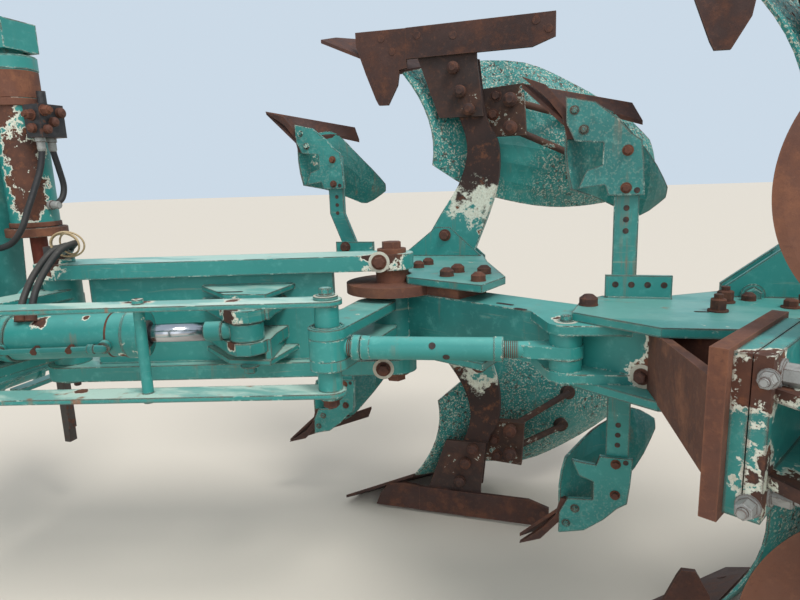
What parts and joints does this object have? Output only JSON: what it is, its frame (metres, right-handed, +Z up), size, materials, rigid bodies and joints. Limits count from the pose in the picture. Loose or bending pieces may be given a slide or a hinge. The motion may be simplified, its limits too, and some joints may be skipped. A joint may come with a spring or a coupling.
{
  "type": "reversible moldboard plough",
  "caption": "Mounted reversible moldboard plough with swinging offset beam, mirrored bodies, skimmers, disc coulters, depth wheel and turning headstock.",
  "frame": {"origin": "centre of the bounding box at ground level, under the plough", "axes": "+X forward in the direction of travel and along the turnover axis, +Y to the left, +Z up"},
  "size_m": [4.3541, 2.3244, 1.778],
  "materials": {
    "paint": "weathered turquoise paint with white primer chips",
    "rust": "rusted bare steel",
    "worn": "dark rusted steel with paint remains",
    "steel": "chromed cylinder rod",
    "black": "black valve body",
    "galvanised": "dull worn steel",
    "hose": "black hydraulic hose",
    "tyre": "dusty black rubber"
  },
  "bodies": {
    "headstock": {"headstock": "paint", "hitch_frame": "paint", "stand_sleeves": "paint", "hitch_shaft": "paint", "turn_barrel": "paint", "turn_rod": "steel", "valve_block": "black", "hoses": "hose"},
    "turnover": {"turnover_shaft": "paint", "carrier": "paint"},
    "fork": {"fork": "paint"},
    "links": {"link_bars": "paint"},
    "shift_barrel": {"shift_barrel": "paint"},
    "shift_rod": {"shift_rod": "steel"},
    "beam": {"beam": "paint", "hinge_plates": "rust", "hinge_pin": "rust", "lever": "paint", "turnbuckle": "paint", "bracket_1": "paint", "leg_1": "worn", "frog_1": "worn", "boards_1": "paint", "shares_1": "rust", "landsides_1": "rust", "stays_1": "worn", "stalks_1": "paint", "skimmers_1": "paint", "bracket_2": "paint", "leg_2": "worn", "frog_2": "worn", "boards_2": "paint", "shares_2": "rust", "landsides_2": "rust", "stays_2": "worn", "stalks_2": "paint", "skimmers_2": "paint", "bracket_3": "paint", "leg_3": "worn", "frog_3": "worn", "boards_3": "paint", "shares_3": "rust", "landsides_3": "rust", "stays_3": "worn", "stalks_3": "paint", "skimmers_3": "paint", "console": "rust", "wheel_mount": "paint", "coulter_arms": "paint"},
    "wheel_arm": {"wheel_arm": "paint"},
    "wheel": {"wheel_rim": "paint", "wheel_tyre": "tyre"},
    "disc_upper": {"coulter_upper": "rust"},
    "disc_lower": {"coulter_lower": "rust"},
    "stand_left": {"stand_left": "galvanised"},
    "stand_right": {"stand_right": "galvanised"}
  },
  "joints": [
    {"name": "turnover", "type": "hinge", "parent": "headstock", "child": "turnover", "pos_m": [1.47198, 0.17667, 0.889], "axis": [1, 0, 0], "range_deg": [0, 180]},
    {"name": "offset_swing", "type": "hinge", "parent": "turnover", "child": "fork", "pos_m": [1.48698, 0.17667, 0.889], "axis": [0, 0, 1], "range_deg": [-12, 10]},
    {"name": "beam_hinge", "type": "hinge", "parent": "fork", "child": "beam", "pos_m": [0.53202, -0.08816, 0.889], "axis": [0, 0, 1], "range_deg": [-10.5, 12.5]},
    {"name": "link_swing", "type": "hinge", "parent": "turnover", "child": "links", "pos_m": [1.51798, 0.57767, 0.889], "axis": [0, 0, 1], "range_deg": [-12.5, 10.5]},
    {"name": "shift_swing", "type": "hinge", "parent": "turnover", "child": "shift_barrel", "pos_m": [1.53198, 0.41467, 0.889], "axis": [0, 0, 1], "range_deg": [-10.58, 8.9]},
    {"name": "shift_stroke", "type": "slide", "parent": "shift_barrel", "child": "shift_rod", "axis": [-0.951, -0.3091, 0], "range_m": [-0.0468, 0.0394]},
    {"name": "wheel_swing", "type": "hinge", "parent": "beam", "child": "wheel_arm", "pos_m": [-0.50911, 0.87016, 0.889], "axis": [0, 1, 0], "range_deg": [0, 100]},
    {"name": "wheel_spin", "type": "hinge", "parent": "wheel_arm", "child": "wheel", "pos_m": [-0.9786, 1.06716, 0.33], "axis": [0, 1, 0], "continuous": true},
    {"name": "disc_upper_spin", "type": "hinge", "parent": "beam", "child": "disc_upper", "pos_m": [-0.49798, 0.57184, 1.24], "axis": [0, 1, 0], "continuous": true},
    {"name": "disc_lower_spin", "type": "hinge", "parent": "beam", "child": "disc_lower", "pos_m": [-0.49798, 0.57184, 0.538], "axis": [0, 1, 0], "continuous": true},
    {"name": "stand_left_slide", "type": "slide", "parent": "headstock", "child": "stand_left", "axis": [0, 0, 1], "range_m": [0, 0.295]},
    {"name": "stand_right_slide", "type": "slide", "parent": "headstock", "child": "stand_right", "axis": [0, 0, 1], "range_m": [-0.295, 0]}
  ],
  "couplings": [
    {"joint": "beam_hinge", "follows": "offset_swing", "ratio": -1},
    {"joint": "link_swing", "follows": "offset_swing", "ratio": 1},
    {"joint": "shift_swing", "follows": "offset_swing", "ratio": 0.84},
    {"joint": "shift_stroke", "follows": "offset_swing", "m_per_rad": 0.214}
  ]
}
